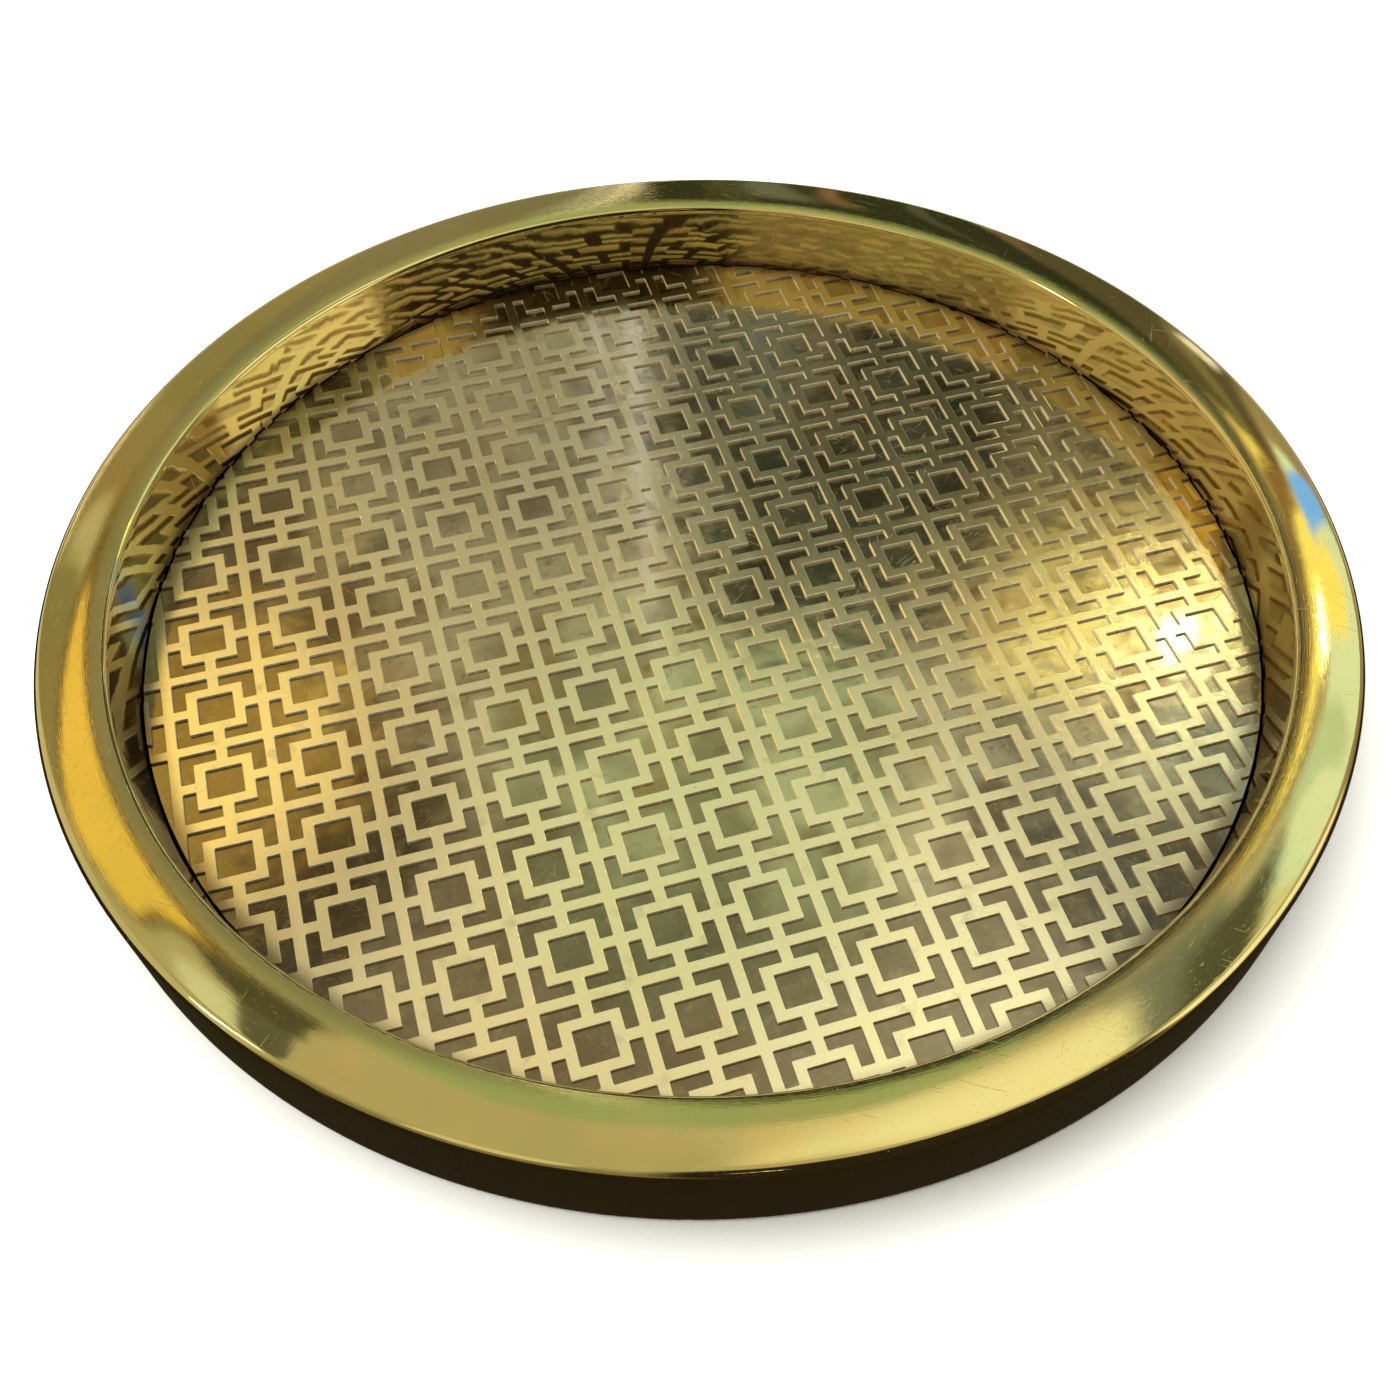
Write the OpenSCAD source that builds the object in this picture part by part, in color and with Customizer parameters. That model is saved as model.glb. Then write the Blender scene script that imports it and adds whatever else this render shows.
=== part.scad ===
// Round brass tray: a spun hollow rim with a ledge turned in at the foot of its
// well, and on that ledge a backing board, a flat floor plate and a pierced
// lattice, one on another. A felt pad covers the board from below.
// +Z is up and the origin is the middle of the pad's underside.

/* [Tray] */
// Diameter over the outer corner, before it is rounded
tray_d = 359; // [346:1:440]
// Height from the underside of the pad to the crown of the rim
tray_h = 29.4; // [20:0.2:44]
// Diameter of the mouth, where the band turns down into the wall
mouth_d = 322; // [317:1:336]
// Diameter of the well at the ledge, below the floor
well_d = 314; // [240:1:318]

/* [Rim] */
// Thickness of the spun sheet
sheet_t = 1; // [0.8:0.1:1.4]
// How far the skirt draws in from the outer corner to its foot
skirt_draw = 1.4; // [0:0.1:4]
// Radius of the lip, where the band turns down into the wall
lip_r = 1.5; // [1.5:0.1:3]
// Radius of the outer corner, where the band turns down into the skirt
corner_r = 2.8; // [1.6:0.1:4]
// Slope of the band where it leaves the lip and the corner, in degrees
band_slope = 8; // [2:0.5:12]
// Width of the hem that the skirt's foot turns in
hem_w = 4; // [3:0.5:8]
// Radius of the hem's bend
hem_r = 1.6; // [1.5:0.1:2.5]
// Width of the ledge that the wall's foot turns in
ledge_w = 7; // [4:0.5:12]
// Radius of the bend between the wall and the ledge, on the well's side
bend_r = 0.8; // [0.4:0.1:1.2]

/* [Floor] */
// Thickness of the backing board
board_t = 4; // [2.5:0.5:8]
// Thickness of the floor plate
floor_t = 1.2; // [0.6:0.1:2]
// Thickness of the lattice sheet
lattice_t = 0.8; // [0.6:0.1:2]
// Gap between the wall and the edges of the board and the floor plate
floor_gap = 0.3; // [0.1:0.1:0.8]
// Gap between the wall and the edge of the lattice
lattice_gap = 0.5; // [0.2:0.1:1.5]

/* [Lattice pattern] */
// Repeat of the pattern from left to right
cell_w = 24.8; // [20:0.1:30]
// Repeat of the pattern from front to back
cell_l = 25.2; // [20:0.1:30]
// Width of the bars that divide the cells
bar_w = 2.9; // [2:0.1:3.4]
// Width of the tabs that tie each ring to the bars
tab_w = 3; // [2:0.1:4]
// Outside size of the square ring in each cell
ring_w = 15.1; // [12:0.1:15.6]
// Size of the square hole in each ring
hole_w = 9.4; // [6:0.1:10]
// Place of the bar crossing nearest the middle, left to right
grid_x = -2.2; // [-12:0.1:12]
// Place of the bar crossing nearest the middle, front to back
grid_y = -12.4; // [-12.4:0.1:12.4]

/* [Pad] */
// Thickness of the felt pad
pad_t = 2; // [1.8:0.1:4]
// How far the pad stands proud of the skirt's foot
pad_proud = 0.3; // [0.1:0.1:0.6]
// Gap between the pad and the ledge
pad_gap = 0.5; // [0.2:0.1:2]

/* [Hidden] */
$fn = 180;
arc_steps = 10;

// Heights, from the underside of the pad upwards
board_z = pad_t;
floor_z = board_z + board_t;
lattice_z = floor_z + floor_t;

// The band runs level at both ends and bulges between them. Its crown is an
// arc that takes up the straight stretch left between the lip and the corner.
corner_x = tray_d / 2;
mouth_x = mouth_d / 2;
half_band = (corner_x - mouth_x) / 2;
crown_reach = 0.98 * (half_band - max(lip_r, corner_r));
crown_r = crown_reach / tan(band_slope);
peak_rise = half_band * tan(band_slope);
peak_loss = crown_reach * tan(band_slope / 2);
band_z = tray_h - peak_rise + peak_loss;

// The rim's outer face as [radius, height], before its corners are rounded:
// in from the hem, up the skirt, over the band, down the wall, in on the ledge
foot_x = corner_x - skirt_draw;
well_x = well_d / 2;
ledge_x = well_x - ledge_w;
face = [
    [foot_x - hem_w, pad_proud],
    [foot_x, pad_proud],
    [corner_x, band_z],
    [(corner_x + mouth_x) / 2, band_z + peak_rise],
    [mouth_x, band_z],
    [well_x, board_z],
    [ledge_x, board_z]
];
face_radii = [0, hem_r, corner_r, crown_r, lip_r, bend_r, 0];

// Radius of the wall's face at height z
function wall_x(z) = well_x + (mouth_x - well_x) * (z - board_z) / (band_z - board_z);
board_r = well_x - bend_r - floor_gap;
floor_r = wall_x(floor_z) - floor_gap;
lattice_r = wall_x(lattice_z) - lattice_gap;
pad_r = ledge_x - pad_gap;

function unit(v) = v / norm(v);
function left_of(v) = [-v.y, v.x];
function reversed(p) = [for (i = [len(p) - 1:-1:0]) p[i]];

// +1 where the path turns left at corner i, and -1 where it turns right
function turn(p, i) = sign(cross(p[i] - p[i - 1], p[i + 1] - p[i]));

// Direction of the path's stretch that ends at corner i, or the first one's
function heading(p, i) = let (k = max(i, 1)) unit(p[k] - p[k - 1]);

// The points of an arc of radius r that rounds the corner at b
function rounded_corner(a, b, c, r) =
    let (u = unit(a - b))
    let (v = unit(c - b))
    let (half = acos(u * v) / 2)
    let (middle = b + unit(u + v) * r / sin(half))
    let (from = b + u * r / tan(half) - middle)
    let (to = b + v * r / tan(half) - middle)
    let (start = atan2(from.y, from.x))
    let (sweep = (atan2(to.y, to.x) - start + 540) % 360 - 180)
    [for (k = [0:arc_steps]) middle + r * [cos(start + sweep * k / arc_steps), sin(start + sweep * k / arc_steps)]];

function rounded_path(p, radii) = [
    for (i = [0:len(p) - 1])
        each radii[i] == 0 ? [p[i]] : rounded_corner(p[i - 1], p[i], p[i + 1], radii[i])
];

// Corner i of the path after the path is moved t to its left
function moved_corner(p, i, t) =
    let (before = left_of(heading(p, i)))
    let (after = left_of(heading(p, min(i + 1, len(p) - 1))))
    let (mitre = unit(before + after))
    p[i] + mitre * t / (mitre * before);

// The sheet's back is one thickness in, and its bends keep the face's centres
back = [for (i = [0:len(face) - 1]) moved_corner(face, i, sheet_t)];
back_radii = [
    for (i = [0:len(face) - 1])
        face_radii[i] == 0 ? 0 : face_radii[i] - turn(face, i) * sheet_t
];

// Half sizes of one cell between its bars
cell_x = (cell_w - bar_w) / 2;
cell_y = (cell_l - bar_w) / 2;
cells = ceil(lattice_r / min(cell_w, cell_l)) + 1;

// A ring is held only where one of its tabs meets it inside the disc
function ring_is_held(middle) =
    min([for (side = [[1, 0], [-1, 0], [0, 1], [0, -1]]) norm(middle + side * ring_w / 2)]) < lattice_r;

module rim() {
    color("#d0b25c")
        rotate_extrude()
            polygon(concat(rounded_path(face, face_radii), reversed(rounded_path(back, back_radii))));
}

module backing_board() {
    color("#8a6a45")
        translate([0, 0, board_z])
            cylinder(r = board_r, h = board_t);
}

module floor_plate() {
    color("#8f7a3a")
        translate([0, 0, floor_z])
            cylinder(r = floor_r, h = floor_t);
}

// One of the four L-shaped slots between a ring and the bars
module corner_slot(side_x, side_y) {
    outline = [
        [tab_w / 2, ring_w / 2],
        [ring_w / 2, ring_w / 2],
        [ring_w / 2, tab_w / 2],
        [cell_x, tab_w / 2],
        [cell_x, cell_y],
        [tab_w / 2, cell_y]
    ];
    polygon([for (p = outline) [side_x * p.x, side_y * p.y]]);
}

module ring_openings() {
    square(hole_w, center = true);
    for (side_x = [-1, 1], side_y = [-1, 1])
        corner_slot(side_x, side_y);
}

module cell_opening(middle) {
    translate(middle)
        if (ring_is_held(middle))
            ring_openings();
        else
            square(2 * [cell_x, cell_y], center = true);
}

module lattice() {
    color("#c8b576")
        translate([0, 0, lattice_z])
            linear_extrude(lattice_t)
                difference() {
                    circle(r = lattice_r);
                    for (i = [-cells:cells], j = [-cells:cells])
                        let (middle = [grid_x + (i + 0.5) * cell_w, grid_y + (j + 0.5) * cell_l])
                        if (norm(middle) < lattice_r + norm([cell_x, cell_y]))
                            cell_opening(middle);
                }
}

module base_pad() {
    color("#2f3a2c")
        cylinder(r = pad_r, h = pad_t);
}

rim();
backing_board();
floor_plate();
lattice();
base_pad();
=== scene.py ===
"""A round brass tray: a spun hollow rim round a pierced lattice on a flat brass floor.

The sheet metal pieces are built here from the sizes of the part, in metres, and
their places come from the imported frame. Materials are brass at different stages
of polish and wear, a pressed fibre board and a wool felt.
"""
import math

import bmesh
import bpy
from mathutils import Matrix, Vector, noise
from mathutils.geometry import delaunay_2d_cdt


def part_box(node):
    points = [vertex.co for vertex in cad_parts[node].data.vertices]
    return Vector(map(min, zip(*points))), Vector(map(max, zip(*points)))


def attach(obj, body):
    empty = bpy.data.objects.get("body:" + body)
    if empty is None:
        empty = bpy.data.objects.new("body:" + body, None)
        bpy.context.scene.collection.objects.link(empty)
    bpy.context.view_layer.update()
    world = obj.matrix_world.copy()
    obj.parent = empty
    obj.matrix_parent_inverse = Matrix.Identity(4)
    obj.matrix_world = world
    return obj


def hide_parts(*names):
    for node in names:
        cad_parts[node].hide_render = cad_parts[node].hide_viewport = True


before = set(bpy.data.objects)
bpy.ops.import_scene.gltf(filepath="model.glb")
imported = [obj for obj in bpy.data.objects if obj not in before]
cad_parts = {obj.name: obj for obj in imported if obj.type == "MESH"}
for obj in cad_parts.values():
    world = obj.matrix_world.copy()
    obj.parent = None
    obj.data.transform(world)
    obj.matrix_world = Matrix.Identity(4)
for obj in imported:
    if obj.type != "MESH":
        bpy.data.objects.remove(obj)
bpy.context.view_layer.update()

MM = 0.001

# ---------------------------------------------------------------- sizes

# The spun rim: its outline before rounding, and its bends
TRAY_R = 179.5 * MM
MOUTH_R = 161 * MM
WELL_R = 157 * MM
SHEET = 1 * MM
SKIRT_DRAW = 1.4 * MM
LIP_BEND = 1.5 * MM
CORNER_BEND = 2.8 * MM
HEM_BEND = 1.6 * MM
LEDGE_BEND = 0.8 * MM
BAND_SLOPE = math.radians(8)
HEM_W = 4 * MM
LEDGE_W = 7 * MM
CROWN_SHARE = 0.98

# The lattice sheet: its gap to the wall, its repeat and its bars
LATTICE_GAP = 0.5 * MM
CELL_W = 24.8 * MM
CELL_L = 25.2 * MM
BAR_W = 2.9 * MM
TAB_W = 3 * MM
RING_W = 15.1 * MM
HOLE_W = 9.4 * MM
GRID_X = -2.2 * MM
GRID_Y = -12.4 * MM
CUT_BEND = 0.3 * MM
CUT_EDGE = 0.15 * MM

# The felt's soft edge, and how far its ripples draw it in
FELT_EDGE = 0.5 * MM
FELT_RIPPLE = 0.12 * MM

# How finely the round pieces are turned
RIM_SEGMENTS = 480
LATTICE_SEGMENTS = 360
FELT_SEGMENTS = 240
FELT_RINGS = 40
SWEEP_SEGMENTS = 96

LATTICE_LOW, LATTICE_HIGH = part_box("lattice")
BOARD_LOW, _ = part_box("backing_board")
RIM_LOW, RIM_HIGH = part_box("rim")
PAD_LOW, PAD_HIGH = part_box("base_pad")

# The band's two ends lie level, and its crown rises between them
HALF_BAND = (TRAY_R - MOUTH_R) / 2
CROWN_REACH = CROWN_SHARE * (HALF_BAND - max(LIP_BEND, CORNER_BEND))
CROWN_BEND = CROWN_REACH / math.tan(BAND_SLOPE)
PEAK_RISE = HALF_BAND * math.tan(BAND_SLOPE)
PEAK_LOSS = CROWN_REACH * math.tan(BAND_SLOPE / 2)
BAND_Z = RIM_HIGH.z - PEAK_RISE + PEAK_LOSS


def wall_radius(z):
    """Radius of the well's wall at height z."""
    return WELL_R + (MOUTH_R - WELL_R) * (z - BOARD_LOW.z) / (BAND_Z - BOARD_LOW.z)


LATTICE_R = wall_radius(LATTICE_LOW.z) - LATTICE_GAP

# ---------------------------------------------------------------- shapes


def turn_at(path, i):
    """+1 where the path turns left at point i, and -1 where it turns right."""
    n = len(path)
    before, after = path[i] - path[i - 1], path[(i + 1) % n] - path[i]
    return math.copysign(1, before.x * after.y - before.y * after.x)


def left_of(v):
    """The direction square to v, on its left."""
    return Vector((-v.y, v.x)).normalized()


def moved_point(path, i, shift, closed):
    """Point i after every stretch of the path is moved to its left."""
    n = len(path)
    here = path[i]
    before = left_of(here - path[i - 1]) if closed or i > 0 else left_of(path[1] - here)
    after = left_of(path[(i + 1) % n] - here) if closed or i < n - 1 else before
    mitre = (before + after).normalized()
    return here + mitre * shift / mitre.dot(before)


def moved_path(path, shift, closed=False):
    """The path after all its stretches are moved to their left."""
    return [moved_point(path, i, shift, closed) for i in range(len(path))]


def rounded_corner(a, b, c, bend, steps):
    """Points of the arc that rounds the corner at b."""
    to_a, to_c = (a - b).normalized(), (c - b).normalized()
    half = to_a.angle(to_c) / 2
    middle = b + (to_a + to_c).normalized() * bend / math.sin(half)
    first = b + to_a * bend / math.tan(half) - middle
    last = b + to_c * bend / math.tan(half) - middle
    start = math.atan2(first.y, first.x)
    sweep = (math.atan2(last.y, last.x) - start + 3 * math.pi) % (2 * math.pi) - math.pi
    angles = [start + sweep * k / steps for k in range(steps + 1)]
    return [middle + bend * Vector((math.cos(t), math.sin(t))) for t in angles]


def rounded_path(path, bends, steps):
    """The path with each corner rounded to its bend, where it has one."""
    points = []
    for i, corner in enumerate(path):
        if bends[i] == 0:
            points.append(corner)
        else:
            after = path[(i + 1) % len(path)]
            points += rounded_corner(path[i - 1], corner, after, bends[i], steps[i])
    return points


def make_piece(name, verts, faces, smooth_angle=None):
    """A new mesh piece, shaded smooth up to smooth_angle where that is given."""
    mesh = bpy.data.meshes.new(name)
    mesh.from_pydata([tuple(v) for v in verts], [], faces)
    mesh.validate()
    if smooth_angle is not None:
        mesh.shade_smooth()
        mesh.set_sharp_from_angle(angle=smooth_angle)
    piece = bpy.data.objects.new(name, mesh)
    bpy.context.scene.collection.objects.link(piece)
    return piece


def weld(piece):
    """Joins the points that lie on one another, such as those on the axis."""
    mesh = bmesh.new()
    mesh.from_mesh(piece.data)
    bmesh.ops.remove_doubles(mesh, verts=mesh.verts, dist=0.001 * MM)
    mesh.to_mesh(piece.data)
    mesh.free()


def turned(name, outline, segments, smooth_angle, closed=True):
    """A surface of revolution. The outline's points are (radius, height)."""
    n, rings = len(outline), range(segments)
    verts = []
    for k in rings:
        angle = 2 * math.pi * k / segments
        verts += [(p.x * math.cos(angle), p.x * math.sin(angle), p.y) for p in outline]
    faces = []
    for k in rings:
        here, there = k * n, (k + 1) % segments * n
        for i in range(n if closed else n - 1):
            j = (i + 1) % n
            faces.append((here + i, there + i, there + j, here + j))
    return make_piece(name, verts, faces, smooth_angle)


def rim_outline():
    """Section of the rim's sheet: its face from the hem to the ledge, then its back."""
    foot_r, ledge_r = TRAY_R - SKIRT_DRAW, WELL_R - LEDGE_W
    face = [
        Vector(p)
        for p in (
            (foot_r - HEM_W, RIM_LOW.z),
            (foot_r, RIM_LOW.z),
            (TRAY_R, BAND_Z),
            ((TRAY_R + MOUTH_R) / 2, BAND_Z + PEAK_RISE),
            (MOUTH_R, BAND_Z),
            (WELL_R, BOARD_LOW.z),
            (ledge_r, BOARD_LOW.z),
        )
    ]
    bends = [0, HEM_BEND, CORNER_BEND, CROWN_BEND, LIP_BEND, LEDGE_BEND, 0]
    steps = [0, 8, 16, 24, 14, 6, 0]
    back_bends = [b and b - turn_at(face, i) * SHEET for i, b in enumerate(bends)]
    back = rounded_path(moved_path(face, SHEET), back_bends, steps)
    return rounded_path(face, bends, steps) + back[::-1]


def build_rim():
    """The spun rim: one closed section of sheet, turned round the axis."""
    rim = turned("spun_rim", rim_outline(), RIM_SEGMENTS, math.radians(30))
    rim.data.flip_normals()
    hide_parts("rim")
    return rim


def corner_slot(side_x, side_y):
    """Outline of one of the four L-shaped slots between a ring and the bars."""
    half_x, half_y = (CELL_W - BAR_W) / 2, (CELL_L - BAR_W) / 2
    tab, ring = TAB_W / 2, RING_W / 2
    outline = [
        (tab, ring),
        (ring, ring),
        (ring, tab),
        (half_x, tab),
        (half_x, half_y),
        (tab, half_y),
    ]
    points = [Vector((side_x * x, side_y * y)) for x, y in outline]
    return points if side_x * side_y > 0 else points[::-1]


def rectangle(half_x, half_y):
    """Outline of a rectangle round the origin."""
    signs = ((-1, -1), (1, -1), (1, 1), (-1, 1))
    return [Vector((x * half_x, y * half_y)) for x, y in signs]


def cell_openings(middle):
    """Outlines of what is cut out of the cell round middle."""
    ring = RING_W / 2
    tabs = [Vector((ring, 0)), Vector((-ring, 0)), Vector((0, ring)), Vector((0, -ring))]
    if min((middle + tab).length for tab in tabs) >= LATTICE_R:
        return [rectangle((CELL_W - BAR_W) / 2, (CELL_L - BAR_W) / 2)]
    slots = [corner_slot(x, y) for x in (-1, 1) for y in (-1, 1)]
    return [rectangle(HOLE_W / 2, HOLE_W / 2)] + slots


def cut_loop(outline, middle, grow):
    """An opening's rounded outline, grown by that much all round."""
    grown = moved_path(outline, -grow, closed=True)
    bends = [CUT_BEND + turn_at(outline, i) * grow for i in range(len(outline))]
    points = rounded_path(grown, bends, [3] * len(outline))
    return [middle + p for p in points]


def lattice_loops():
    """Pairs of loops, at the sheet's top and below its rounded edge. The disc is first."""
    angles = [2 * math.pi * k / LATTICE_SEGMENTS for k in range(LATTICE_SEGMENTS)]
    circle = [Vector((math.cos(t), math.sin(t))) for t in angles]
    loops = [([p * (LATTICE_R - CUT_EDGE) for p in circle], [p * LATTICE_R for p in circle])]
    reach = LATTICE_R + Vector((CELL_W, CELL_L)).length / 2
    count = math.ceil(LATTICE_R / min(CELL_W, CELL_L)) + 1
    for i in range(-count, count + 1):
        for j in range(-count, count + 1):
            middle = Vector((GRID_X + (i + 0.5) * CELL_W, GRID_Y + (j + 0.5) * CELL_L))
            if middle.length > reach:
                continue
            for outline in cell_openings(middle):
                top = cut_loop(outline, middle, CUT_EDGE)
                if min(p.length for p in top) < LATTICE_R:
                    loops.append((top, cut_loop(outline, middle, 0)))
    return loops


def build_lattice():
    """The pierced sheet: its top, the steps down each rounded edge, and its back."""
    loops = lattice_loops()
    top_points = [p for top, _ in loops for p in top]
    foot_points = [p for _, foot in loops for p in foot]
    outlines, first = [], 0
    for top, _ in loops:
        outlines.append(list(range(first, first + len(top))))
        first += len(top)
    points, _, triangles, origins, _, covers = delaunay_2d_cdt(
        [p / MM for p in top_points], [], outlines, 1, 1e-5
    )
    kept = [list(t) for t, cover in zip(triangles, covers) if list(cover) == [0]]

    def run_out(i):
        """How far the sheet's edge runs out from point i, below the rounding."""
        here = points[i] * MM
        if origins[i]:
            return foot_points[origins[i][0]] - here
        return here.normalized() * CUT_EDGE

    top_z, low_z = LATTICE_HIGH.z, LATTICE_LOW.z
    layers = [
        (math.sin(t), top_z - CUT_EDGE * (1 - math.cos(t)))
        for t in (0, math.pi / 6, math.pi / 3, math.pi / 2)
    ]
    layers.append((1, low_z))
    verts, used = [], {}
    for i in sorted({i for t in kept for i in t}):
        used[i] = len(verts)
        here, out = points[i] * MM, run_out(i)
        verts += [(*(here + out * share), z) for share, z in layers]
    last = len(layers) - 1
    faces = [tuple(used[i] for i in t) for t in kept]
    faces += [tuple(used[i] + last for i in reversed(t)) for t in kept]
    sides = {(t[k - 1], t[k]) for t in kept for k in range(3)}
    for a, b in sorted(sides):
        if (b, a) not in sides:
            for k in range(last):
                faces.append((used[b] + k, used[a] + k, used[a] + k + 1, used[b] + k + 1))
    lattice = make_piece("pierced_lattice", verts, faces)
    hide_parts("lattice")
    return lattice


def build_felt():
    """The felt pad: a disc with a soft edge that ripples a little."""
    radius = PAD_HIGH.x
    inner = radius * 0.9
    low = [Vector((radius * 0.99 * k / FELT_RINGS, PAD_LOW.z)) for k in range(FELT_RINGS)]
    foot = Vector((radius, PAD_LOW.z))
    brow = Vector((radius, PAD_HIGH.z))
    edge = rounded_corner(Vector((inner, PAD_LOW.z)), foot, brow, FELT_EDGE, 5)
    edge += rounded_corner(foot, brow, Vector((inner, PAD_HIGH.z)), FELT_EDGE, 5)
    outline = low + edge + [Vector((0, PAD_HIGH.z))]
    felt = turned("felt_pad", outline, FELT_SEGMENTS, math.radians(60), closed=False)
    weld(felt)
    near_top = PAD_HIGH.z * 0.9
    for v in felt.data.vertices:
        ripple = noise.noise(v.co * 140) + 0.5 * noise.noise(v.co * 420)
        outward = Vector((v.co.x, v.co.y, 0)).normalized()
        if v.co.z < near_top and v.co.to_2d().length > radius * 0.97:
            v.co -= outward * FELT_RIPPLE * (1 + ripple)
    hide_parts("base_pad")
    return felt


# ---------------------------------------------------------------- materials


class Value:
    """A shader socket that takes part in sums, products and comparisons."""

    def __init__(self, look, socket):
        self.look, self.socket = look, socket

    def math(self, operation, *values):
        sockets = {i: v for i, v in enumerate((self, *values))}
        return self.look.add("Math", {"operation": operation}, sockets)

    def flipped(self, operation, other):
        return self.look.add("Math", {"operation": operation}, {0: other, 1: self})

    def __add__(self, other):
        return self.math("ADD", other)

    def __radd__(self, other):
        return self.math("ADD", other)

    def __sub__(self, other):
        return self.math("SUBTRACT", other)

    def __rsub__(self, other):
        return self.flipped("SUBTRACT", other)

    def __mul__(self, other):
        return self.math("MULTIPLY", other)

    def __rmul__(self, other):
        return self.math("MULTIPLY", other)

    def __truediv__(self, other):
        return self.math("DIVIDE", other)

    def rise(self, low, high):
        """0 below low and 1 above high, smooth between. A low above high falls instead."""
        settings = {"interpolation_type": "SMOOTHSTEP"}
        if low < high:
            return self.look.add("MapRange", settings, {0: self, 1: low, 2: high})
        return self.look.add("MapRange", settings, {0: self, 1: high, 2: low, 3: 1, 4: 0})


class Look:
    """A node tree that is written as expressions."""

    def __init__(self, tree):
        self.tree = tree
        tree.nodes.clear()

    def add(self, kind, settings=None, sockets=None, output=0):
        """A new node of that kind, with its settings, then its sockets' values or links."""
        node = self.tree.nodes.new("ShaderNode" + kind)
        for name, value in (settings or {}).items():
            setattr(node, name, value)
        for name, value in (sockets or {}).items():
            if isinstance(value, Value):
                self.tree.links.new(value.socket, node.inputs[name])
            else:
                node.inputs[name].default_value = value
        return Value(self, node.outputs[output]) if node.outputs else node

    def mix(self, share, a, b):
        """A colour that goes from a to b."""
        sockets = {0: share}
        for name, value in ((6, a), (7, b)):
            sockets[name] = value if isinstance(value, Value) else (*value, 1)
        return self.add("Mix", {"data_type": "RGBA"}, sockets, 2)

    def scaled(self, vector, factors):
        """The vector with each part multiplied by its factor."""
        return self.add("VectorMath", {"operation": "MULTIPLY"}, {0: vector, 1: factors})

    def offset(self, vector, amount):
        """The vector moved by that amount."""
        return self.add("VectorMath", {"operation": "ADD"}, {0: vector, 1: amount})

    def parts(self, vector):
        """The three numbers of a vector."""
        split = self.add("SeparateXYZ", {}, {0: vector})
        outputs = split.socket.node.outputs
        return [Value(self, outputs[i]) for i in range(3)]

    def joined(self, x, y, z):
        return self.add("CombineXYZ", {}, {0: x, 1: y, 2: z})

    def noise(self, point, scale, detail=3, rough=0.5, distortion=0):
        """Smooth noise from 0 to 1, mostly near a half."""
        sockets = {"Vector": point, "Scale": scale, "Detail": detail}
        sockets.update({"Roughness": rough, "Distortion": distortion})
        return self.add("TexNoise", {}, sockets)

    def noise_colour(self, point, scale, detail=2):
        sockets = {"Vector": point, "Scale": scale, "Detail": detail}
        return self.add("TexNoise", {}, sockets, 1)

    def bump(self, height, distance, strength=1.0, normal=None):
        """A normal that follows the height, on top of an earlier normal if there is one."""
        sockets = {"Height": height, "Distance": distance, "Strength": strength}
        if normal is not None:
            sockets["Normal"] = normal
        return self.add("Bump", {}, sockets)

    def finish(self, shader, kind="Material"):
        self.add("Output" + kind, {}, {"Surface": shader})


def new_material(name):
    """A material and the look that writes its nodes."""
    material = bpy.data.materials.new(name)
    material.use_nodes = True
    return material, Look(material.node_tree)


def millimetres(look):
    """The point on the piece, in millimetres."""
    return look.scaled(look.add("TexCoord", {}, {}, 3), (1000, 1000, 1000))


def round_point(look, point, round_scale, radial_scale):
    """A point for marks that run round the axis, with no seam where they close."""
    x, y, _ = look.parts(point)
    radius = (x * x + y * y).math("SQRT")
    return radius, look.joined(x / radius * round_scale, y / radius * round_scale, radius * radial_scale)


def distance_from_axis(look, point):
    """How far the point is from the tray's axis."""
    x, y, _ = look.parts(point)
    return (x * x + y * y).math("SQRT")


def turned_about_z(look, point, angle):
    """The point after a turn about the upright axis."""
    settings = {"rotation_type": "Z_AXIS"}
    return look.add("VectorRotate", settings, {"Vector": point, "Angle": angle})


def scratches(look, point, angle, length, width, density, seed):
    """Fine scratches that run near one direction, 1 in a scratch and 0 beside it."""
    wander = look.noise_colour(point, 0.035)
    bent = look.offset(point, look.scaled(wander, (9, 9, 0)))
    along = turned_about_z(look, look.offset(bent, (seed, -seed, seed)), angle)
    lines = look.noise(look.scaled(along, (1 / length, 1 / width, 0)), 1, 1, 0.5)
    gaps = look.noise(look.offset(point, (0, seed, 0)), 1.6 / length, 2)
    return lines.rise(0.70, 0.78) * gaps.rise(0.62 - density, 0.72 - density)


def principled(look, colour, metallic, roughness, normal, **fixed):
    """The one shader of a material. What is fixed is the same all over the surface."""
    sockets = {"Base Color": colour, "Metallic": metallic, "Roughness": roughness, "Normal": normal}
    sockets.update(fixed)
    return look.add("BsdfPrincipled", {}, sockets)


GOLD = (0.77, 0.60, 0.235)
GREEN_GOLD = (0.66, 0.56, 0.21)
WARM_GOLD = (0.80, 0.55, 0.19)
OLD_GOLD = (0.36, 0.27, 0.11)
# Dark brown: real tarnish and stains on the floor plate, and painted shade at the wall's foot and round
# the lattice's edge
BROWN_TARNISH_AND_SHADE = (0.17, 0.115, 0.05)
CLEAR_LACQUER = {"Coat Weight": 1.0, "Coat Roughness": 0.04}


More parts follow.
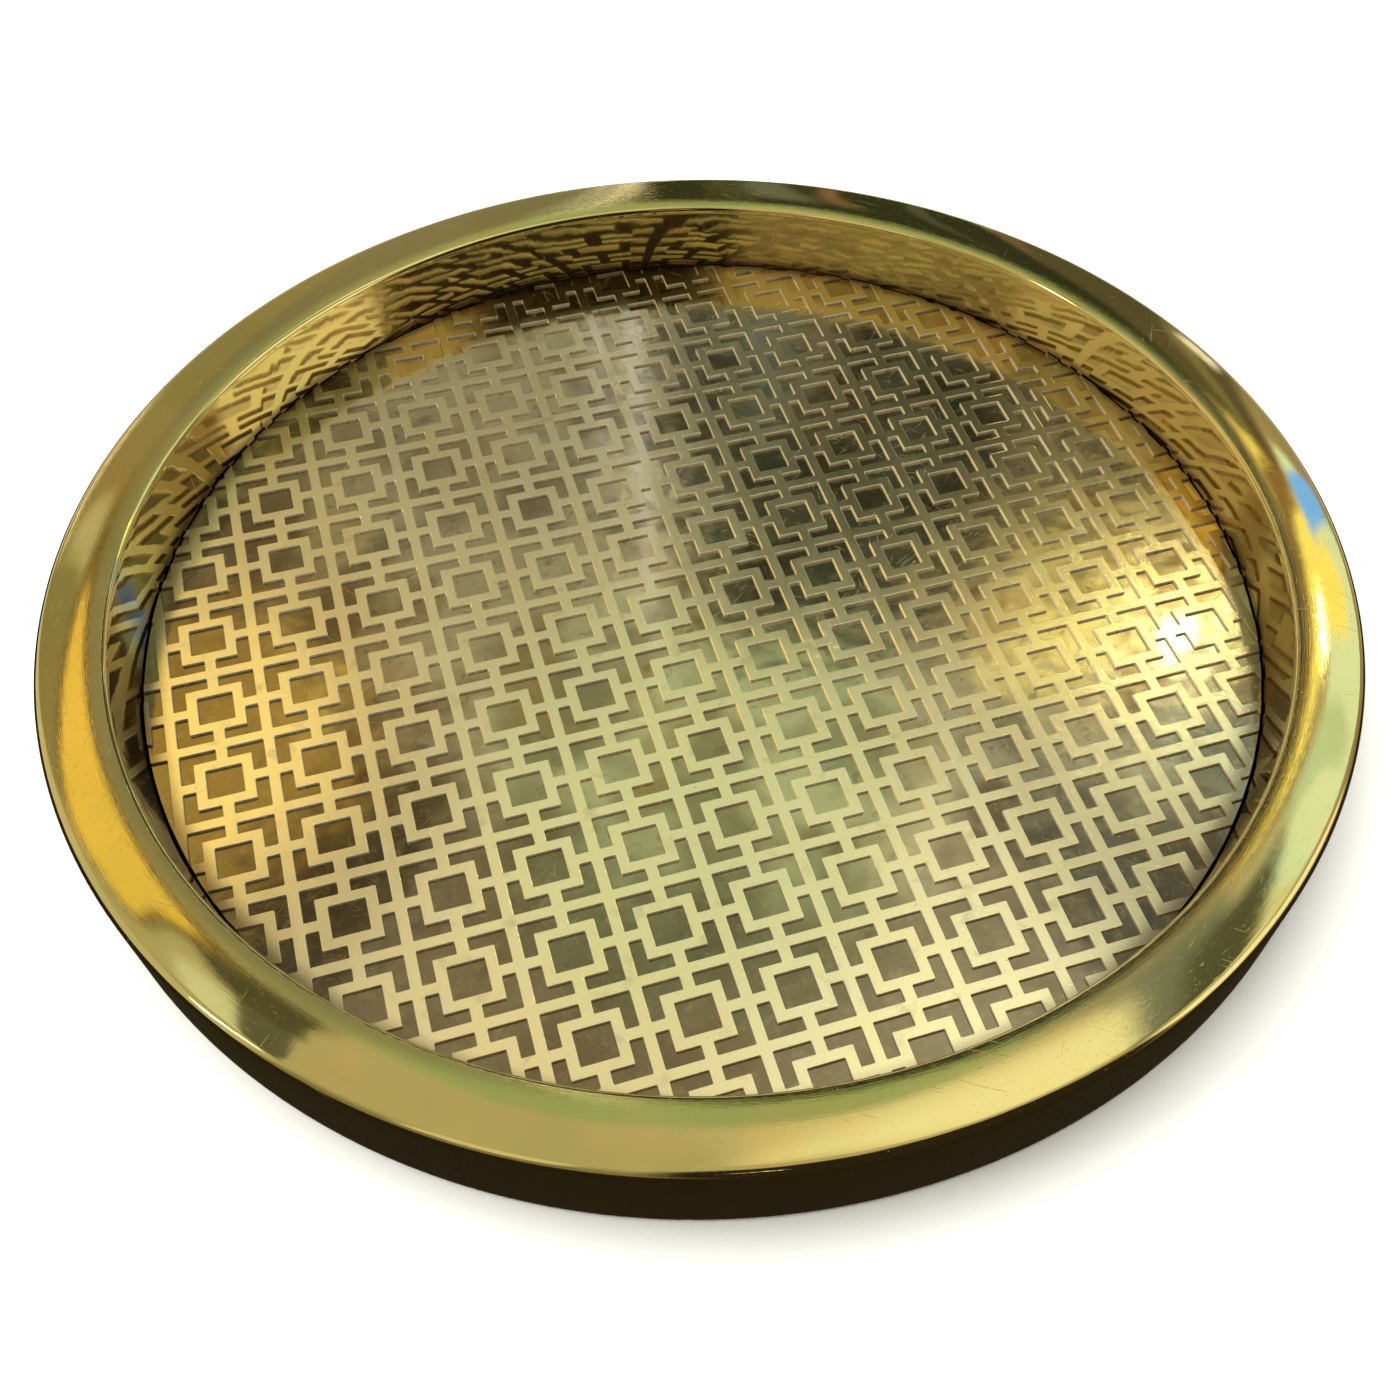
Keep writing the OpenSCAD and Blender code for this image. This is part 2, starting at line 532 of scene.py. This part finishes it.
def rim_brass():
    """Polished brass with turning lines on the band and upright brushing on the skirt."""
    material, look = new_material("rim_brass")
    point = millimetres(look)
    _, _, z = look.parts(point)
    radius, lathe = round_point(look, point, 9, 1.4)
    band, mouth, edge = BAND_Z / MM, MOUTH_R / MM, TRAY_R / MM
    on_band = z.rise(band - 2.2, band - 0.6)
    on_wall = radius.rise(mouth + 0.6, mouth - 0.2) * (1 - on_band)
    on_skirt = radius.rise(edge - 3, edge - 1.8) * (1 - on_band)

    clouds = look.noise(point, 0.018, 3)
    colour = look.mix(clouds.rise(0.38, 0.62), GREEN_GOLD, GOLD)
    colour = look.mix(look.noise(point, 0.05, 4).rise(0.5, 0.75) * 0.5, colour, WARM_GOLD)
    spots = look.noise(point, 0.55, 4, 0.7).rise(0.66, 0.76)
    colour = look.mix(spots * 0.35, colour, OLD_GOLD)
    # Painted dark reflection: the skirt's colour is darkened towards old gold
    colour = look.mix(on_skirt * 0.55, colour, OLD_GOLD)
    colour = look.mix(on_wall * (0.25 + 0.35 * clouds), colour, OLD_GOLD)
    lattice_top = LATTICE_HIGH.z / MM
    # Painted shade: within 3 mm above the lattice the wall darkens to brown, for the shade in the seam
    painted_shade_at_wall_foot = z.rise(lattice_top + 3, lattice_top + 0.3)
    colour = look.mix(painted_shade_at_wall_foot * on_wall * 0.8, colour, BROWN_TARNISH_AND_SHADE)

    turning = look.noise(lathe, 1, 4, 0.75)
    fine_turning = look.noise(look.scaled(lathe, (1.6, 1.6, 3.4)), 1, 2, 0.6)
    _, ring_scratch = round_point(look, point, 60, 5)
    handled = look.noise(ring_scratch, 1, 2, 0.6).rise(0.69, 0.76)
    crossing = scratches(look, point, 0.6, 26, 0.35, 0.08, 11)
    crossing = crossing.math("MAXIMUM", scratches(look, point, 2.2, 18, 0.3, 0.06, 37))
    pits = look.noise(point, 1.7, 2, 0.5).rise(0.73, 0.77)

    upright = look.noise(look.scaled(point, (1.1, 1.1, 0.05)), 1, 4, 0.7)
    dull = look.noise(point, 0.07, 4, 0.6)
    roughness = 0.012 + 0.025 * dull + 0.1 * spots
    roughness = roughness + (0.02 * turning + 0.2 * handled) * on_band
    roughness = roughness + on_wall * (0.01 + 0.03 * dull)
    roughness = roughness + on_skirt * (0.17 + 0.16 * upright)

    waves = look.noise(look.scaled(point, (1, 1, 0.4)), 0.045, 2)
    normal = look.bump(waves, 0.00003)
    ripples = look.noise(look.scaled(point, (1, 1, 0.5)), 0.1, 2) * on_wall
    normal = look.bump(ripples, 0.00009, 1.0, normal)
    marks = (turning * 0.5 + fine_turning * 0.5) * on_band - handled * on_band * 0.5
    normal = look.bump(marks, 0.00002, 0.8, normal)
    normal = look.bump(1 - crossing - pits * 0.6, 0.00006, 0.7, normal)
    normal = look.bump(upright * on_skirt, 0.00012, 0.9, normal)
    look.finish(principled(look, colour, 1.0, roughness, normal))
    return material


def lattice_brass():
    """Satin brass, pale and hazy with wiped smears, specks and a little white residue."""
    material, look = new_material("lattice_brass")
    point = millimetres(look)
    clouds = look.noise(point, 0.012, 3)
    wiped = turned_about_z(look, look.scaled(point, (1, 0.35, 1)), 0.5)
    smears = look.noise(wiped, 0.06, 5, 0.6, 0.6)
    colour = look.mix(clouds.rise(0.35, 0.65), (0.95, 0.80, 0.44), (0.98, 0.81, 0.42))
    colour = look.mix(smears.rise(0.45, 0.75) * 0.35, colour, (0.94, 0.87, 0.58))
    grime = look.noise(point, 0.11, 5, 0.65).rise(0.55, 0.75)
    colour = look.mix(grime * 0.4, colour, (0.45, 0.35, 0.16))
    specks = look.noise(point, 0.9, 3, 0.6).rise(0.70, 0.75)
    colour = look.mix(specks * 0.6, colour, (0.25, 0.19, 0.09))
    residue_area = look.noise(look.offset(point, (40, 15, 0)), 0.022, 1).rise(0.70, 0.78)
    residue = look.noise(point, 0.35, 5, 0.7).rise(0.52, 0.66) * residue_area
    colour = look.mix(residue * 0.25, colour, (0.80, 0.70, 0.52))

    # The cut faces are rougher and paler than the rolled one
    x, y, z = look.parts(point)
    top, edge = LATTICE_HIGH.z / MM, LATTICE_R / MM
    cut = z.rise(top - 0.02, top - 0.12)
    colour = look.mix(cut * 0.7, colour, (0.94, 0.90, 0.74))
    haze = (80 * clouds - 0.5 * x - 0.7 * y).rise(-50, 130) * (1 - cut)

    radius = distance_from_axis(look, point)
    # Painted shade: a dark brown ring round the lattice's edge, where the wall shades it
    painted_shade_ring = (radius + 5 * clouds).rise(edge - 5, edge + 2)
    colour = look.mix(painted_shade_ring * 0.85, colour, BROWN_TARNISH_AND_SHADE)
    # Painted shade: the lattice's outer band, some 26 mm wide, is darkened towards old gold, less where
    # it is hazy
    painted_shade_near_wall = (radius + 20 * clouds).rise(edge - 26, edge + 12)
    colour = look.mix(painted_shade_near_wall * (1 - haze) * 0.45, colour, OLD_GOLD)

    hairs = scratches(look, point, 0.3, 16, 0.22, 0.12, 5)
    for angle, seed in ((1.3, 23), (2.4, 51)):
        hairs = hairs.math("MAXIMUM", scratches(look, point, angle, 14, 0.22, 0.1, seed))
    roughness = 0.13 + 0.07 * smears.rise(0.3, 0.8) + 0.08 * grime
    roughness = roughness + 0.1 * residue - 0.03 * hairs + 0.12 * cut
    metallic = 1.0 - residue * 0.1 - haze * 0.13 - cut * 0.4
    waves = look.noise(point, 0.03, 2)
    normal = look.bump(waves, 0.0001)
    grain = look.noise(point, 2.6, 3, 0.7)
    normal = look.bump(grain - hairs * 0.8 - specks * 0.5, 0.000008, 1.0, normal)
    shader = principled(look, colour, metallic, roughness, normal, **CLEAR_LACQUER)
    look.finish(shader)
    return material


def floor_brass():
    """Old polished plate: tarnished in patches that are partly painted reflection, stained, and
    scratched in arcs.
    """
    material, look = new_material("floor_brass")
    point = millimetres(look)
    # The light and dark patches and the orange and grey-green tints are partly tarnish and partly
    # painted reflection: they stand in for reflections that change from opening to opening
    patches = look.noise(point, 0.028, 2, 0.5, 0.4)
    colour = look.mix(patches.rise(0.34, 0.56), (0.42, 0.31, 0.15), (0.82, 0.67, 0.38))
    tint = look.noise(look.offset(point, (90, 0, 0)), 0.04, 3)
    colour = look.mix(tint.rise(0.55, 0.68) * 0.6, colour, (0.58, 0.33, 0.10))
    colour = look.mix(tint.rise(0.42, 0.32) * 0.5, colour, (0.30, 0.30, 0.16))
    x, y, _ = look.parts(point)
    radius = distance_from_axis(look, point)
    tarnish = (radius * 0.8 - 0.25 * x - 0.3 * y + 90 * tint + 45 * patches).rise(150, 200)
    colour = look.mix(tarnish * 0.85, colour, BROWN_TARNISH_AND_SHADE)
    stains = look.noise(point, 0.16, 5, 0.7, 0.5)
    colour = look.mix(stains.rise(0.56, 0.68) * 0.45, colour, BROWN_TARNISH_AND_SHADE)
    mottle = look.noise(point, 0.35, 4, 0.65).rise(0.5, 0.7)
    colour = look.mix(mottle * 0.2, colour, (0.62, 0.50, 0.24))

    marks = scratches(look, point, 0.9, 12, 0.28, 0.2, 7)
    for angle, seed in ((0.2, 13), (1.7, 31), (2.5, 59)):
        marks = marks.math("MAXIMUM", scratches(look, point, angle, 10, 0.26, 0.16, seed))
    colour = look.mix(marks * 0.5, colour, (0.75, 0.60, 0.28))
    roughness = 0.06 + 0.10 * stains + 0.04 * mottle + 0.12 * marks
    waves = look.noise(point, 0.06, 2)
    normal = look.bump(waves, 0.0002)
    normal = look.bump(0 - marks, 0.00003, 1.0, normal)
    look.finish(principled(look, colour, 1.0, roughness, normal, **CLEAR_LACQUER))
    return material


def pressed_board():
    """Raw brown fibre board with pressed fibres and darker flecks."""
    material, look = new_material("backing_board")
    point = millimetres(look)
    fibres = look.noise(look.scaled(point, (1, 0.22, 1)), 1.4, 5, 0.7, 0.8)
    colour = look.mix(fibres, (0.10, 0.055, 0.028), (0.28, 0.18, 0.10))
    flecks = look.noise(point, 2.2, 2).rise(0.64, 0.72)
    colour = look.mix(flecks * 0.7, colour, (0.05, 0.028, 0.015))
    normal = look.bump(fibres, 0.0002, 0.6)
    look.finish(principled(look, colour, 0.0, 0.7 + 0.2 * fibres, normal))
    return material


def wool_felt():
    """Dark green wool felt: matted fibres with a soft bloom."""
    material, look = new_material("base_felt")
    point = millimetres(look)
    matting = look.noise(point, 0.9, 6, 0.75, 1.2)
    stretch = (1, 0.15, 1)
    one_way = look.scaled(turned_about_z(look, point, 0.7), stretch)
    other_way = look.scaled(turned_about_z(look, point, 2.3), stretch)
    fibres = look.noise(one_way, 5, 3, 0.7, 1.5)
    cover = fibres.math("MAXIMUM", look.noise(other_way, 5, 3, 0.7, 1.5))
    colour = look.mix(matting, (0.006, 0.014, 0.008), (0.022, 0.045, 0.026))
    colour = look.mix(cover.rise(0.55, 0.75) * 0.5, colour, (0.05, 0.08, 0.05))
    lint = look.noise(point, 0.25, 6, 0.8).rise(0.66, 0.72)
    colour = look.mix(lint * 0.35, colour, (0.12, 0.12, 0.10))
    normal = look.bump(matting * 0.5 + cover, 0.0004, 0.8)
    fixed = {"Sheen Weight": 0.4, "Sheen Roughness": 0.5}
    look.finish(principled(look, colour, 0.0, 0.85 + 0.1 * matting, normal, **fixed))
    return material


# ---------------------------------------------------------------- studio

# Cards, flags and lamps round the tray. Directions are azimuth, from +Y towards +X,
# and elevation, in degrees. Each row is: name, middle, half size, tilt, bend (how
# fast its ends fall away), softness of its edge, colour. Later rows cover earlier ones.
CARDS = [
    ("left_wall", (-68, 18), (34, 26), 0, 0, 0.25, (0.75, 0.70, 0.55)),
    ("left_window", (-89, 36), (2.4, 9), 0, 0, 0.3, (9.0, 9.0, 8.6)),
    ("right_window", (112, 24), (20, 16), 0, 0, 0.25, (1.3, 1.35, 1.2)),
    ("back_flag", (168, 30), (36, 36), 0, 0, 0.25, (0.03, 0.026, 0.02)),
    ("back_lamp", (190, 36), (4, 1.2), 0, 0, 0.5, (2.4, 2.3, 2.0)),
    ("back_left_card", (-132, 34), (12, 14), 0, 0, 0.4, (0.9, 0.85, 0.65)),
    ("pale_ceiling", (66, 67), (40, 15), -8, 0, 1.0, (1.15, 1.25, 1.08)),
    ("green_ceiling", (15, 55.5), (13, 7.5), 0, 0, 0.35, (0.46, 0.59, 0.40)),
    ("taupe_wall", (-14, 29), (25, 20), 0, 0, 0.2, (0.36, 0.33, 0.20)),
    ("horizon_glow", (10, 6), (62, 9), 0, 0, 0.6, (0.85, 0.85, 0.75)),
    ("khaki_streak", (-15, 40), (9, 1.6), 40, 0, 0.9, (0.66, 0.64, 0.48)),
    ("side_gleam", (-21, 27.5), (6, 1.8), -28, 0, 0.7, (1.2, 1.2, 1.1)),
    ("olive_wall", (5, 31), (7, 19.5), 0, 0, 0.5, (0.29, 0.29, 0.23)),
    ("brown_wall", (37, 30), (8, 19.5), 12, 0, 0.3, (0.13, 0.12, 0.09)),
    ("red_post", (30.4, 31), (0.9, 18), 7, 0, 0.6, (0.22, 0.16, 0.11)),
    ("dark_doorway", (21.5, 30.5), (9, 19.5), 0, 0, 0.08, (0.045, 0.055, 0.04)),
    ("green_post", (18.8, 29), (1.2, 13), 0, 0, 0.5, (0.17, 0.21, 0.20)),
    ("olive_column", (16.6, 30), (0.35, 18), 0, 0, 0.6, (0.13, 0.15, 0.10)),
    ("brown_post", (21.6, 29), (0.5, 12), 3, 0, 0.6, (0.28, 0.20, 0.15)),
    ("grey_post", (26, 28), (0.5, 14), 4, 0, 0.6, (0.11, 0.13, 0.11)),
    ("olive_beam", (40, 32), (1.2, 14), 14, 0, 0.8, (0.26, 0.26, 0.15)),
    ("thin_light", (10.8, 27), (0.3, 16), 0, 0, 0.4, (0.9, 1.0, 1.2)),
    ("dark_slit", (11.5, 30), (0.4, 19), 0, 0, 0.5, (0.12, 0.13, 0.09)),
    ("strip_light", (12.3, 31), (0.4, 18.5), -1, 0, 0.4, (1.5, 1.6, 1.7)),
    ("small_lamp", (43, 26), (1.5, 3), 20, 0, 0.7, (1.2, 1.3, 1.7)),
    ("green_screen", (60, 42.5), (15, 11.5), -8, 0, 0.06, (0.93, 1.25, 1.30)),
    ("green_fold", (53, 47.5), (13, 1.6), -16, 0, 0.6, (0.68, 0.98, 0.95)),
    ("yellow_fan", (44, 43.5), (14, 2.6), -21, 0, 0.25, (1.35, 1.30, 0.50)),
    ("brown_fan", (36, 45.3), (8.5, 0.8), -30, 0, 0.7, (0.30, 0.20, 0.10)),
    ("blue_window", (49.5, 36), (7.0, 1.7), -48, 0, 0.2, (0.25, 0.75, 2.9)),
    ("lamp_glow", (42, 46.4), (2.4, 0.8), -17, 0, 0.9, (2.0, 2.0, 1.0)),
    ("hot_lamp", (40.9, 46.7), (0.9, 0.6), -15, 0, 0.3, (24, 22.5, 18)),
    ("right_rail", (75, 61.2), (47, 2.6), 0, 0.0048, 0.3, (0.24, 0.30, 0.31)),
    ("right_shelf", (75, 57.6), (31, 3.2), 0, 0.0042, 0.4, (0.12, 0.14, 0.12)),
    ("left_light", (-44, 58.6), (17, 2.2), 0, 0, 0.7, (0.92, 1.0, 0.95)),
    ("left_rail", (-42, 62.3), (42, 1.6), 0, 0.0052, 0.3, (0.16, 0.17, 0.15)),
    ("left_shelf", (-12, 56.8), (11, 2.5), -19, 0, 0.3, (0.12, 0.12, 0.09)),
    ("amber_rim", (-20, 49.4), (18, 5.6), 0, 0, 0.2, (0.26, 0.20, 0.10)),
    ("amber_shade", (-21, 49.6), (15.5, 4.5), 0, 0, 0.05, (1.12, 0.84, 0.23)),
]
CEILING = (0.64, 0.60, 0.44)
WALLS = (0.30, 0.27, 0.18)
BELOW = (0.030, 0.024, 0.014)


def card_mask(look, direction, middle, half, tilt, bend, soft):
    """1 inside a card with rounded corners and 0 outside it."""
    place = look.offset(direction, (-middle[0], -middle[1], 0))
    if bend:
        across, up, _ = look.parts(place)
        place = look.joined(across, up + across * across * bend, 0)
    if tilt:
        place = turned_about_z(look, place, -math.radians(tilt))
    place = look.scaled(place, (1 / half[0], 1 / half[1], 0))
    squared = look.scaled(place, place)
    reach = look.add("VectorMath", {"operation": "LENGTH"}, {0: squared}, 1)
    return reach.rise(1 + soft, 1 - soft)


def studio_world():
    """The soft surroundings that the brass mirrors: a pale ceiling, cards and lamps."""
    world = bpy.data.worlds.new("studio")
    world.use_nodes = True
    look = Look(world.node_tree)
    x, y, z = look.parts(look.add("TexCoord", {}, {}, 0))
    degrees = 180 / math.pi
    azimuth = x.math("ARCTAN2", y) * degrees
    # The azimuth's seam is moved to the left rear, where it crosses no card
    azimuth = azimuth + 360 * azimuth.math("LESS_THAN", -150)
    elevation = z.math("ARCSINE") * degrees
    direction = look.joined(azimuth, elevation, 0)
    colour = look.mix(elevation.rise(10, 60), WALLS, CEILING)
    for _, middle, half, tilt, bend, soft, tint in CARDS:
        mask = card_mask(look, direction, middle, half, tilt, bend, soft)
        colour = look.mix(mask, colour, tint)
    colour = look.mix(elevation.rise(1, -3), colour, BELOW)
    look.finish(look.add("Background", {}, {"Color": colour, "Strength": 1.0}), "World")
    bpy.context.scene.world = world


def softbox(name, place, size, power):
    """A soft light aimed at the tray that shows in no reflection."""
    light = bpy.data.lights.new(name, "AREA")
    light.shape = "DISK"
    light.size = size
    light.energy = power
    lamp = bpy.data.objects.new(name, light)
    lamp.location = place
    lamp.rotation_euler = (-lamp.location).to_track_quat("-Z", "Y").to_euler()
    lamp.visible_glossy = False
    bpy.context.scene.collection.objects.link(lamp)


def floor_sweep():
    """A pale floor that curves up into a backdrop all round."""
    path = [Vector(p) for p in ((0, 0), (3, 0), (3.6, 2.4))]
    outline = rounded_path(path, [0, 1.1, 0], [0, 16, 0])
    sweep = turned("floor_sweep", outline, SWEEP_SEGMENTS, math.radians(80), closed=False)
    weld(sweep)
    sweep.data.flip_normals()
    sweep.location.z = -0.2 * MM
    material, look = new_material("pale_floor")
    grain = look.noise(look.add("TexCoord", {}, {}, 3), 900, 2)
    colour = look.mix(grain, (0.86, 0.86, 0.85), (0.90, 0.90, 0.89))
    look.finish(principled(look, colour, 0.0, 0.9, look.bump(grain, 0.00002)))
    sweep.data.materials.append(material)
    sweep.visible_glossy = False
    sweep.visible_shadow = False


def camera():
    """The viewpoint: above the near left edge, looking down and to the right."""
    eye = Vector((-0.0810, -0.2885, 0.3403))
    ahead = Vector((0.2009, 0.5863, -0.7848)).normalized()
    above = Vector((0.2281, 0.7511, 0.6195))
    above = (above - ahead * above.dot(ahead)).normalized()
    right = ahead.cross(above)
    data = bpy.data.cameras.new("camera")
    data.sensor_width = 36
    data.lens = 39.79
    data.shift_x = -0.0456
    data.clip_start, data.clip_end = 0.01, 20
    view = bpy.data.objects.new("camera", data)
    axes = Matrix((right, above, -ahead)).transposed()
    view.matrix_world = Matrix.Translation(eye) @ axes.to_4x4()
    bpy.context.scene.collection.objects.link(view)
    bpy.context.scene.camera = view


# ---------------------------------------------------------------- the tray


def paint(piece, material):
    """Gives all of a piece's material slots one material."""
    if not piece.material_slots:
        piece.data.materials.append(material)
    for slot in piece.material_slots:
        slot.material = material


camera()
studio_world()
softbox("overhead_softbox", (-0.3, 0.6, 2.2), 3.0, 84)
softbox("left_softbox", (-1.5, 0.6, 1.2), 1.6, 16)
floor_sweep()

rim = build_rim()
lattice = build_lattice()
felt = build_felt()
for piece, material, slot in (
    (rim, rim_brass(), "rim_brass"),
    (lattice, lattice_brass(), "lattice_brass"),
    (felt, wool_felt(), "base_felt"),
):
    paint(piece, material)
    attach(piece, "root")
paint(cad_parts["floor_plate"], floor_brass())
paint(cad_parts["backing_board"], pressed_board())

view_settings = bpy.context.scene.view_settings
view_settings.view_transform = "Standard"
view_settings.look = "None"
